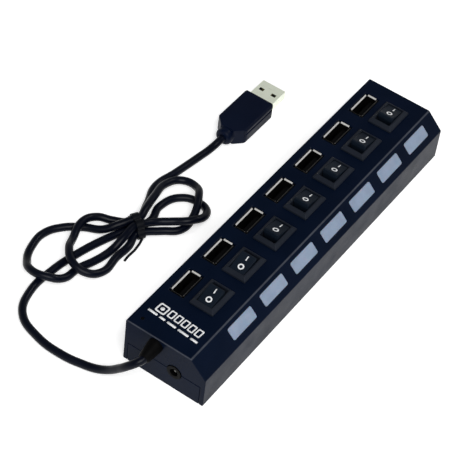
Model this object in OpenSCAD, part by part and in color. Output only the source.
// Seven-port USB hub: a long case with a row of upright ports, a rocker switch
// beside each port and a light window on the slope beside each switch. A fixed
// cord leaves one end, is folded over itself three times, held by a twist tie,
// and ends in a USB-A plug. Millimetres.
// +X is the side with the slope, +Y the end away from the cord, +Z up, and the
// origin is the bottom centre of the case.

/* [Case] */
// Length of the case
case_l = 178; // [177:0.5:180]
// Width of the case
case_w = 38.8; // [38.6:0.1:39.4]
// Height of the case
case_h = 23.4; // [23.2:0.1:23.6]
// Width and height of the 45 degree slope
slope = 7.6; // [7.4:0.1:7.8]
// Thickness of the case walls
wall = 2; // [1.8:0.1:2.2]
// Height of the seam between the two halves, on the end walls
seam_z = 10.4; // [9:0.1:11]

/* [Ports and switches] */
// Distance from one port to the next
pitch = 22; // [21.8:0.1:22.2]
// Distance from the cord end to the middle of the first port
first_port = 30; // [29.5:0.1:30.5]
// Sideways place of the ports
port_x = -12.05; // [-12.2:0.05:-11.9]
// Sideways place of the switches
switch_x = 0.35; // [0.2:0.05:0.5]
// Angle of a rocker from level, at either end of its travel
rocker_tilt = 16; // [12:1:16]
// How many switches from the cord end are shown switched off
off_count = 2; // [0:1:7]

/* [Cord] */
// Diameter of the cord
cord_d = 3.5; // [3.3:0.1:3.5]
// Sideways place of the cord where it leaves the case
cord_x = -4.6; // [-5:0.1:-4.2]
// Height of the cord where it leaves the case
cord_z = 19.4; // [19.2:0.1:19.5]

/* [Hidden] */
$fn = 48;
ARC_STEPS = 5;

COUNT = 7;
SHELL_BLACK = "#171a21";
SWITCH_BLACK = "#0f1116";
STEEL = "#c9ccd0";
GOLD = "#c9a24a";
BOARD_GREEN = "#17492c";

// Case
corner_r = 0.8;
foot_r = 0.4;
gap = 0.15;
half_l = case_l / 2;
half_w = case_w / 2;
inner_x = half_w - wall;
crease_x = half_w - slope;
bevel_inset = wall * tan(22.5);
case_outline = rounded(
    [[-half_w, 0], [half_w, 0], [half_w, case_h - slope], [crease_x, case_h], [-half_w, case_h]],
    [foot_r, foot_r, corner_r, corner_r, corner_r]);
cavity_outline = [
    [-inner_x, -1], [inner_x, -1], [inner_x, case_h - slope - bevel_inset],
    [crease_x - bevel_inset, case_h - wall], [-inner_x, case_h - wall]];

// Circuit board, held between the posts of the two halves
board_z = 4.8;
board_t = 1.6;
board_top = board_z + board_t;
board_w = 33.6;
board_l = 172;
screw_at = [[-13.5, -76], [13.5, -76], [-13.5, 83.2], [7, 83.6]];
post_r = 2.6;
pilot_r = 1.05;
pilot_top = 16;
screw_r = 1;
screw_head_r = 2.3;
screw_head_z = 0.3;
recess_z = 1.7;
through_r = 1.4;

// USB-A ports, standing on the board
shell_in = [5.12, 12.5];
sheet = 0.3;
shell_z = 23;
flap_z = 23.5;
flap_out = 0.5;
port_cut = [7, 14.4];
tongue_x = 0.9;
tongue_t = 1.84;
tongue_z = 21.4;
contact_y = [-3.5, -1, 1, 3.5];

// Rocker switches, snapped into the top of the case
flange = [11.3, 15.4];
flange_top = [8.7, 12.8];
flange_h = 2.1;
skirt_h = 0.8;
switch_body = [8.7, 13.3];
switch_cut = [8.9, 13.5];
switch_in = [7.5, 12.2];
rim_in = [7.5, 11.9];
rim_z = case_h + 1.8;
switch_floor = 12.4;
pivot_z = 21.8;
rocker_w = 6.8;
pin_r = 0.7;
pin_hole_r = 0.75;
pin_reach = 4.3;
stem_r = 0.8;
stem_reach = 6.3;
lever_z = 15;
lever_size = [2.6, 9.6, 0.4];
lever_ratio = 0.6;
blade = [1.8, 0.5];
blade_y = [-4.2, 0, 4.2];
blade_z = [13.9, 14.7, 13.9];

// Light windows: down is measured along the slope from its upper edge
window_from = 2.3;
window_to = 7.9;
window_half = 7.95;
light_fit = 0.05;
strip_t = 1.2;

// Direct-current socket in the cord end
jack_x = 4.9;
jack_z = 10;
jack_body = [7.4, 12, 7.2];
jack_collar_r = 3.3;
jack_hole_r = 3.4;
jack_bore_r = 1.8;
jack_pin_r = 0.65;
jack_back = -78;

// Power light beside the cord
lamp_at = [-14.8, -84.3];
lamp_r = 0.7;

// Strain relief: its tail hangs a little
relief_flange = [8.4, 1.2, 6];
relief_neck_r = 2.6;
relief_tail = 8;
relief_droop = 8;

// Plug, lying beside the case with its axis along Y
plug_x = -57.6;
plug_z = 4.2;
plug_back = 36;
plug_front = 61.5;
plug_tip = 73.5;
plug_w = 15.4;
plug_h = 8.3;
plug_shell_size = [12, 4.5];

// Twist tie round the five strands of the folded cord
tie_at = [-55.5, -32.2];
tie_turn = -29.9;
tie_step = 1.8;
tie_low = 2.8;
tie_high = 6;
tie_wall = 0.9;
tie_len = 3.2;
tie_lead = 1.7;

// Route of the cord, from inside the case to inside the plug. The cord lies on
// the standing surface and passes over itself in low humps.
cord_route = [
    [cord_x, -86, cord_z], [cord_x, -half_l, cord_z], [cord_x, -97, cord_z - 1.1],
    [-6, -99.5, 17.3], [-8.8, -101.2, 14.8], [-12.5, -101.3, 10.5], [-18, -101.4, 5.2],
    [-23.5, -102.2, 2.6], [-28, -103, 2], [-37, -104.5, 2], [-51, -103.5, 2], [-63, -98, 2],
    [-68, -87, 2], [-68, -72, 2], [-65.5, -58, 2], [-61.5, -44.5, 2],
    each tie_pass(0, 1),
    [-53.5, -24.5, 2.2], [-55.5, -16, 2], [-51.5, -6, 2], [-42.5, -3.5, 2],
    [-36.5, -9, 4], [-38.5, -17, 6], [-45, -22, 5], [-49.5, -26, 5],
    each tie_pass(1, -1),
    [-55, -42, 5], [-56, -48.5, 2.2], [-57.5, -56.5, 2], [-60.5, -65, 2],
    [-61.5, -74, 3], [-66, -79, 5.2], [-73, -80, 4.8], [-79.5, -75, 2.2],
    [-83, -67, 2], [-83.5, -59, 2], [-79.5, -51.5, 2], [-73, -46, 2],
    [-65.5, -42.5, 3], [-61, -38, 5.2],
    each tie_pass(-1, 1),
    [-57, -24.5, 6.4], [-59, -15.5, 5.5], [-60.5, -4.5, 3.5], [-57, 2, 2.6],
    [-50, 2.5, 3.2], [-44, -4, 5.6], [-40.5, -13, 2.8], [-40.5, -20.5, 2],
    [-46.5, -27, 2.2],
    each tie_pass(2, -1),
    [-51.5, -43, 3], [-52, -50.5, 2.4], [-51.5, -60.5, 2.4], [-55.5, -66.5, 4.2],
    [-62, -67, 6], [-68, -62, 6], [-71.5, -55, 3.8], [-73.5, -46, 5.4],
    [-71, -39.5, 4.4], [-65.5, -36, 3.2],
    each tie_pass(-2, 1),
    [-60, -19, 2.8], [-64, -7.5, 2], [-62, 4.5, 2], [-60, 17.5, 2],
    [-58.5, 26.5, 2.6], [plug_x, 31.5, plug_z], [plug_x, plug_back, plug_z]];

// Loose tail of the twist tie
tie_wire_r = 0.6;
tie_tail = [
    [-50.2, -35.2, 2], [-49.6, -38, 1.4], [-49.2, -42, 1], [-49.4, -46, 0.8], [-49, -49, 0.9]];

// --- Functions ---------------------------------------------------------------

function unit(v) = v / norm(v);

function turned(v, angle) = [v.x * cos(angle) - v.y * sin(angle), v.x * sin(angle) + v.y * cos(angle)];

// Arc of radius r that replaces corner b of the outline a-b-c
function corner_arc(a, b, c, r) =
    let (
        to_a = unit(a - b),
        to_c = unit(c - b),
        half = acos(to_a * to_c) / 2,
        centre = b + unit(to_a + to_c) * r / sin(half),
        first = b + to_a * r / tan(half) - centre,
        last = b + to_c * r / tan(half) - centre,
        turn = sign(cross(first, last)) * (180 - 2 * half))
    [for (i = [0:ARC_STEPS]) centre + turned(first, turn * i / ARC_STEPS)];

// Outline whose corner i is rounded with radii[i]
function rounded(points, radii) =
    let (n = len(points))
    [for (i = [0:n - 1])
        each corner_arc(points[(i + n - 1) % n], points[i], points[(i + 1) % n], radii[i])];

// Rectangle from corner a to corner b, with every corner rounded
function rounded_box(a, b, r) = rounded([a, [b.x, a.y], b, [a.x, b.y]], [r, r, r, r]);

function port_y(i) = -half_l + first_port + pitch * (i - 1);

// Tilt of rocker i at rest: the far end is up on a switch that is off
function rest_tilt(i) = i <= off_count ? rocker_tilt : -rocker_tilt;

// Height of strand k in the twist tie, and where it enters and leaves
function strand_z(k) = k % 2 == 0 ? tie_low : tie_high;

function tie_pass(k, way) = [
    for (end = [-way, way])
        let (at = tie_at + turned([tie_step * k, end * tie_lead], tie_turn))
        [at.x, at.y, strand_z(k)]];

// Rings of points round a path, each square to the path and level in itself
function path_dir(path, i) = unit(path[min(i + 1, len(path) - 1)] - path[max(i - 1, 0)]);

function ring(centre, dir, r, sides) =
    let (across = unit(cross(dir, [0, 0, 1])), up = cross(across, dir))
    [for (s = [0:sides - 1]) centre + r * (across * cos(360 * s / sides) + up * sin(360 * s / sides))];

// --- Shared shapes -----------------------------------------------------------

// Outline in X and Z, drawn along Y
module prism_y(points, from, to)
    translate([0, to, 0])
        rotate([90, 0, 0])
            linear_extrude(to - from)
                polygon(points);

// Outline in Y and Z, drawn along X
module prism_x(points, from, to)
    translate([from, 0, 0])
        rotate([90, 0, 90])
            linear_extrude(to - from)
                polygon(points);

// Box centred on at in X and Y, standing on at.z
module box(size, at)
    translate([at.x - size.x / 2, at.y - size.y / 2, at.z])
        cube(size);

module rod_x(r, from, to, y, z)
    translate([from, y, z])
        rotate([0, 90, 0])
            cylinder(h = to - from, r = r);

module rod_y(r, from, to, x, z)
    translate([x, to, z])
        rotate([90, 0, 0])
            cylinder(h = to - from, r = r);

module rod_z(r, from, to, at)
    translate([at.x, at.y, from])
        cylinder(h = to - from, r = r);

// Frame of the slope: X runs down it, Z out of it, Z = 0 on its surface
module on_slope()
    translate([crease_x, 0, case_h])
        rotate([0, 45, 0])
            children();

// Solid tube swept along a path
module tube(path, r, sides) {
    n = len(path);
    points = [for (i = [0:n - 1]) each ring(path[i], path_dir(path, i), r, sides)];
    walls = [
        for (i = [0:n - 2], s = [0:sides - 1])
            let (a = i * sides + s, b = i * sides + (s + 1) % sides)
            each [[a, b, a + sides], [b, b + sides, a + sides]]];
    caps = [[for (s = [sides - 1:-1:0]) s], [for (s = [0:sides - 1]) (n - 1) * sides + s]];
    polyhedron(points, concat(walls, caps));
}

module at_port(i)
    translate([port_x, port_y(i), 0])
        children();

module at_switch(i)
    translate([switch_x, port_y(i), 0])
        children();

// --- Case --------------------------------------------------------------------

module window_shape(clearance)
    polygon(rounded_box(
        [window_from + clearance, -window_half + clearance],
        [window_to - clearance, window_half - clearance], corner_r));

module top_shell()
    color(SHELL_BLACK)
        difference() {
            union() {
                difference() {
                    prism_y(case_outline, -half_l, half_l);
                    prism_y(cavity_outline, -half_l + wall, half_l - wall);
                }
                intersection() {
                    prism_y(case_outline, -half_l, half_l);
                    for (at = screw_at)
                        rod_z(post_r, board_top, case_h, at);
                }
            }
            for (end = [-1, 1])
                box([2 * inner_x, 2 * wall + 1, seam_z + 1], [0, end * half_l, -1]);
            for (at = screw_at)
                rod_z(pilot_r, board_top - 1, pilot_top, at);
            for (i = [1:COUNT]) {
                at_port(i) box([port_cut.x, port_cut.y, 2 * wall], [0, 0, case_h - 1.5 * wall]);
                at_switch(i) box([switch_cut.x, switch_cut.y, 2 * wall], [0, 0, case_h - 1.5 * wall]);
                on_slope()
                    translate([0, port_y(i), -1.5 * wall])
                        linear_extrude(2 * wall)
                            window_shape(0);
            }
            rod_y(jack_hole_r, -half_l - 1, -half_l + 1.5 * wall, jack_x, jack_z);
            rod_y(relief_neck_r, -half_l - 1, -half_l + 1.5 * wall, cord_x, cord_z);
            rod_z(lamp_r + light_fit, case_h - 1.5 * wall, case_h + 1, lamp_at);
        }

module bottom_cover()
    color(SHELL_BLACK)
        difference() {
            union() {
                box([2 * (inner_x - gap), case_l, wall], [0, 0, 0]);
                for (end = [-1, 1])
                    box([2 * (inner_x - gap), wall, seam_z - 0.1], [0, end * (half_l - wall / 2), 0]);
                for (side = [-1, 1])
                    box([1.2, 136, board_z], [side * 9, 4, 0]);
                for (at = screw_at)
                    rod_z(post_r, 0, board_z, at);
            }
            for (at = screw_at) {
                rod_z(through_r, -1, board_z + 1, at);
                rod_z(screw_head_r + 0.2, -1, recess_z, at);
            }
            rod_y(jack_hole_r, -half_l - 1, -half_l + 1.5 * wall, jack_x, jack_z);
        }

module cover_screws()
    color(STEEL)
        for (at = screw_at)
            difference() {
                union() {
                    rod_z(screw_head_r, screw_head_z, recess_z, at);
                    rod_z(screw_r, recess_z, pilot_top - 2, at);
                }
                for (turn = [0, 90])
                    translate([at.x, at.y, 0])
                        rotate([0, 0, turn])
                            box([2.6, 0.6, 1], [0, 0, 0]);
            }

// --- Electronics -------------------------------------------------------------

module circuit_board()
    color(BOARD_GREEN)
        difference() {
            box([board_w, board_l, board_t], [0, 0, board_z]);
            for (at = screw_at)
                rod_z(through_r, board_z - 1, board_top + 1, at);
        }

// Two hub controllers, each with two rows of gull-wing legs
module controller_chips()
    for (y = [-26, 18]) {
        color("#202226") box([4.4, 9.6, 1.5], [8.4, y, board_top + 0.15]);
        color(STEEL)
            for (side = [-1, 1], leg = [-4:4])
                box([0.9, 0.4, 0.6], [8.4 + side * 2.6, y + leg, board_top]);
    }

module crystals()
    color(STEEL)
        for (y = [-38, 6]) {
            box([3.6, 6.4, 3.2], [8.4, y, board_top]);
            for (end = [-3.2, 3.2])
                rod_z(1.8, board_top, board_top + 3.2, [8.4, y + end]);
        }

module capacitors()
    color("#2b3550")
        for (y = [-66, -50, -4, 40, 62])
            rod_z(2.5, board_top, board_top + 6.5, [8.2, y]);

module chip_resistors()
    color("#33302c")
        for (i = [1:COUNT], end = [-1, 1])
            box([0.8, 1.6, 0.5], [13, port_y(i) + 4 * end, board_top]);

module indicator_leds()
    color("#f2f4ec")
        for (i = [1:COUNT]) {
            rod_z(1.8, board_top, board_top + 0.8, [13, port_y(i)]);
            rod_z(1.5, board_top + 0.8, board_top + 3.8, [13, port_y(i)]);
            translate([13, port_y(i), board_top + 3.8]) sphere(r = 1.5);
        }

// --- Ports -------------------------------------------------------------------

// One flap: a strip of the shell's sheet that leans out at the mouth, drawn
// with its outer face towards +X, inner face at distance in from the centre
module flap(in, width)
    rotate([90, 0, 0])
        translate([0, 0, -width / 2])
            linear_extrude(width)
                polygon([
                    [in, shell_z - sheet], [in + sheet, shell_z - sheet], [in + sheet, shell_z],
                    [in + sheet + flap_out, flap_z], [in + flap_out, flap_z], [in, shell_z]]);

module port_shell(i)
    color(STEEL)
        at_port(i) {
            difference() {
                box([shell_in.x + 2 * sheet, shell_in.y + 2 * sheet, shell_z - board_top],
                    [0, 0, board_top]);
                box([shell_in.x, shell_in.y, shell_z], [0, 0, board_top - 1]);
                for (y = [-3.1, 3.1])
                    box([3 * shell_in.x, 2.4, 6], [0, y, 12]);
            }
            for (turn = [0, 180]) {
                rotate([0, 0, turn]) flap(shell_in.x / 2, 11.9);
                rotate([0, 0, turn + 90]) flap(shell_in.y / 2, 4.1);
            }
        }

module port_tongue(i)
    color("#0c0d10")
        at_port(i) {
            box([shell_in.x, shell_in.y, 3], [0, 0, board_top]);
            box([tongue_t, 11.1, tongue_z - board_top], [tongue_x, 0, board_top]);
        }

module port_contacts()
    color(GOLD)
        for (i = [1:COUNT], y = contact_y)
            at_port(i) box([0.25, 1, 11], [tongue_x - tongue_t / 2 - 0.125, y, board_top + 3]);

// --- Switches ----------------------------------------------------------------

// Half outline of the flange: straight skirt, then a 45 degree bevel
function flange_outline(base, top) = [
    [-base / 2, case_h], [base / 2, case_h], [base / 2, case_h + skirt_h], [top / 2, case_h + flange_h],
    [-top / 2, case_h + flange_h], [-base / 2, case_h + skirt_h]];

module switch_frame(i)
    color(SWITCH_BLACK)
        at_switch(i)
            difference() {
                union() {
                    intersection() {
                        prism_y(flange_outline(flange.x, flange_top.x), -flange.y, flange.y);
                        prism_x(flange_outline(flange.y, flange_top.y), -flange.x, flange.x);
                    }
                    box([switch_body.x, switch_body.y, case_h + skirt_h - switch_floor],
                        [0, 0, switch_floor]);
                }
                box([switch_in.x, switch_in.y, rim_z - switch_floor - 1], [0, 0, switch_floor + 1]);
                box([rim_in.x, rim_in.y, 4], [0, 0, rim_z - 1]);
                rod_x(pin_hole_r, -flange.x, flange.x, 0, pivot_z);
                for (y = blade_y)
                    box([blade.x, blade.y, 3], [0, y, switch_floor - 1]);
            }

// Rocker with its pivot at the origin and level: dished top, two pins, a stem
rocker_outline = rounded(
    [[-4.8, 4.75], [-4.5, 2.6], [-3, -0.6], [-1.6, -1.4], [1.6, -1.4], [3, -0.6], [4.5, 2.6],
     [4.8, 4.75], [2.4, 4.64], [0, 4.6], [-2.4, 4.64]],
    [0.5, 0.4, 0.4, 0.3, 0.3, 0.4, 0.4, 0.5, 1, 1, 1]);

module rocker(i)
    color(SWITCH_BLACK)
        translate([switch_x, port_y(i), pivot_z])
            rotate([rest_tilt(i), 0, 0]) {
                prism_x(rocker_outline, -rocker_w / 2, rocker_w / 2);
                rod_x(pin_r, -pin_reach, pin_reach, 0, 0);
                rod_z(stem_r, stem_r - stem_reach, 0, [0, 0]);
                translate([0, 0, stem_r - stem_reach]) sphere(r = stem_r);
            }

// Seesaw contact that the rocker's stem tips over
module contact_lever(i)
    color(GOLD)
        translate([switch_x, port_y(i), lever_z])
            rotate([-lever_ratio * rest_tilt(i), 0, 0])
                box(lever_size, [0, 0, -lever_size.z / 2]);

module switch_terminals()
    color(STEEL)
        for (i = [1:COUNT], k = [0:2])
            at_switch(i) box([blade.x, blade.y, blade_z[k] - board_top], [0, blade_y[k], board_top]);

// --- Lights ------------------------------------------------------------------

// Clear strip behind the slope, with a block that fills each window
module light_guide()
    color("#aeb7c6")
        on_slope() {
            translate([window_from - 0.7, port_y(1) - 11, -wall - strip_t])
                cube([window_to - window_from + 1.4, 6 * pitch + 20, strip_t]);
            for (i = [1:COUNT])
                translate([0, port_y(i), -wall])
                    linear_extrude(wall - 0.1)
                        window_shape(light_fit);
        }

module power_led()
    color("#2b2e36") {
        rod_z(1.5, board_top, board_top + 1, lamp_at);
        rod_z(lamp_r, board_top, case_h - 0.1, lamp_at);
    }

// --- Power socket ------------------------------------------------------------

module dc_jack_body()
    color("#101114")
        difference() {
            union() {
                box(jack_body, [jack_x, -half_l + wall + jack_body.y / 2, board_top]);
                rod_y(jack_collar_r, -half_l - 0.3, -half_l + wall + 1, jack_x, jack_z);
            }
            rod_y(jack_bore_r, -half_l - 1, jack_back, jack_x, jack_z);
        }

module dc_jack_pin()
    color(STEEL)
        rod_y(jack_pin_r, -half_l + 0.8, jack_back, jack_x, jack_z);

module dc_jack_spring()
    color(GOLD)
        translate([jack_x - 0.4, jack_back - 7, jack_z - 1.6])
            cube([0.8, 7, 0.25]);

// --- Cord --------------------------------------------------------------------

// Flange inside the end wall, neck through it, tapering tail outside
module strain_relief()
    color(SWITCH_BLACK)
        translate([cord_x, -half_l, cord_z])
            difference() {
                union() {
                    box(relief_flange, [0, wall + relief_flange.y / 2, -4.2]);
                    rod_y(relief_neck_r, 0, wall, 0, 0);
                    intersection() {
                        rotate([90 + relief_droop, 0, 0])
                            rotate_extrude()
                                polygon([
                                    [0, -0.5], [3.3, -0.5], [3.3, 1], [2.9, 4.5],
                                    [2.4, relief_tail - 0.3], [2.1, relief_tail], [0, relief_tail]]);
                        box([12, 12, 12], [0, -6, -6]);
                    }
                }
                rod_y(cord_d / 2, -0.1, wall + 2, 0, 0);
                rotate([90 + relief_droop, 0, 0])
                    cylinder(h = relief_tail + 1, r = cord_d / 2);
            }

module cable()
    color("#14161b")
        tube(cord_route, cord_d / 2, 8);

// Four cores of the cord, bent down onto the board
module cord_leads() {
    core_r = 0.35;
    start_y = -86;
    bend_y = -80.5;
    for (dx = [-1, 1], dz = [-1, 1])
        color(dx < 0 ? (dz < 0 ? "#1c1c1e" : "#b3282c") : (dz < 0 ? "#2d7a3a" : "#e4e2da")) {
            x = cord_x + 0.6 * dx;
            bend_r = 3 + 0.6 * dz;
            rod_y(core_r, start_y, bend_y, x, cord_z + 0.6 * dz);
            translate([x, bend_y, cord_z - 3])
                rotate([90, 0, 90])
                    rotate_extrude(angle = 90)
                        translate([bend_r, 0]) circle(r = core_r);
            rod_z(core_r, board_top, cord_z - 3, [x, bend_y + bend_r]);
        }
}

module strand_rods(r, length)
    for (k = [-2:2])
        rod_y(r, -length / 2, length / 2, tie_step * k, strand_z(k));

module twist_tie()
    color("#202329") {
        translate([tie_at.x, tie_at.y, 0])
            rotate([0, 0, tie_turn])
                difference() {
                    strand_rods(cord_d / 2 + tie_wall, tie_len);
                    strand_rods(cord_d / 2, 2 * tie_len);
                }
        tube(tie_tail, tie_wire_r, 8);
    }

// --- Plug --------------------------------------------------------------------

// Outline of the grip's cross-section, with a shallow V along each side
plug_outline = [
    each corner_arc([0, 0.1], [-plug_w / 2, 0.1], [-plug_w / 2, 4], 1.2),
    [-plug_w / 2, 5.2], [-plug_w / 2 + 0.5, 5.5], [-plug_w / 2 + 0.5, 5.9], [-plug_w / 2, 6.2],
    each corner_arc([-plug_w / 2, 6.2], [-plug_w / 2, 0.1 + plug_h], [0, 0.1 + plug_h], 1.2),
    each corner_arc([0, 0.1 + plug_h], [plug_w / 2, 0.1 + plug_h], [plug_w / 2, 6.2], 1.2),
    [plug_w / 2, 6.2], [plug_w / 2 - 0.5, 5.9], [plug_w / 2 - 0.5, 5.5], [plug_w / 2, 5.2],
    each corner_arc([plug_w / 2, 4], [plug_w / 2, 0.1], [0, 0.1], 1.2)];

// Outline of the grip seen from above: full width, then tapering to the collar
plug_plan = rounded(
    [[-3.4, plug_back], [3.4, plug_back], [plug_w / 2, plug_back + 4.5], [plug_w / 2, plug_front],
     [-plug_w / 2, plug_front], [-plug_w / 2, plug_back + 4.5]],
    [0.4, 0.4, 2, 1.2, 1.2, 2]);

// Grip with a bell-shaped collar where the cord enters
module plug_overmould()
    color("#14161b")
        translate([plug_x, 0, 0])
            difference() {
                union() {
                    intersection() {
                        prism_y(plug_outline, plug_back, plug_front);
                        linear_extrude(plug_h + 1) polygon(plug_plan);
                    }
                    translate([0, plug_back, plug_z])
                        rotate([90, 0, 0])
                            rotate_extrude()
                                polygon([
                                    [0, -0.8], [3.6, -0.8], [4, 0.5], [4, 2], [3.6, 2.8], [2.8, 3.3],
                                    [0, 3.3]]);
                }
                rod_y(cord_d / 2, plug_back - 4, plug_back, 0, plug_z);
            }

module plug_shell()
    color(STEEL)
        translate([plug_x, 0, plug_z - plug_shell_size.y / 2])
            difference() {
                translate([-plug_shell_size.x / 2, plug_front, 0])
                    cube([plug_shell_size.x, plug_tip - plug_front, plug_shell_size.y]);
                translate([-plug_shell_size.x / 2 + sheet, plug_front - 1, sheet])
                    cube([plug_shell_size.x - 2 * sheet, 15, plug_shell_size.y - 2 * sheet]);
                for (x = [-3.2, 3.2])
                    box([2.4, 1.8, 20], [x, plug_tip - 5.6, -5]);
            }

plug_floor = plug_z - plug_shell_size.y / 2 + sheet;
insulator_t = 1.9;

module plug_insulator()
    color("#16171b")
        translate([plug_x - 5.7, plug_front, plug_floor])
            cube([11.4, plug_tip - 0.5 - plug_front, insulator_t]);

module plug_contacts()
    color(GOLD)
        for (x = contact_y)
            translate([plug_x + x - 0.5, plug_front, plug_floor + insulator_t])
                cube([1, 9.5, 0.2]);

// --- Nodes -------------------------------------------------------------------

function numbered(name) = [for (i = [1:COUNT]) str(name, "_", i)];

top_shell();
bottom_cover();
cover_screws();
circuit_board();
controller_chips();
crystals();
capacitors();
chip_resistors();
indicator_leds();
port_contacts();
switch_terminals();
light_guide();
power_led();
dc_jack_body();
dc_jack_pin();
dc_jack_spring();
strain_relief();
cable();
cord_leads();
twist_tie();
plug_overmould();
plug_shell();
plug_insulator();
plug_contacts();
for (i = [1:COUNT]) {
    port_shell(i);
    port_tongue(i);
    switch_frame(i);
    rocker(i);
    contact_lever(i);
}
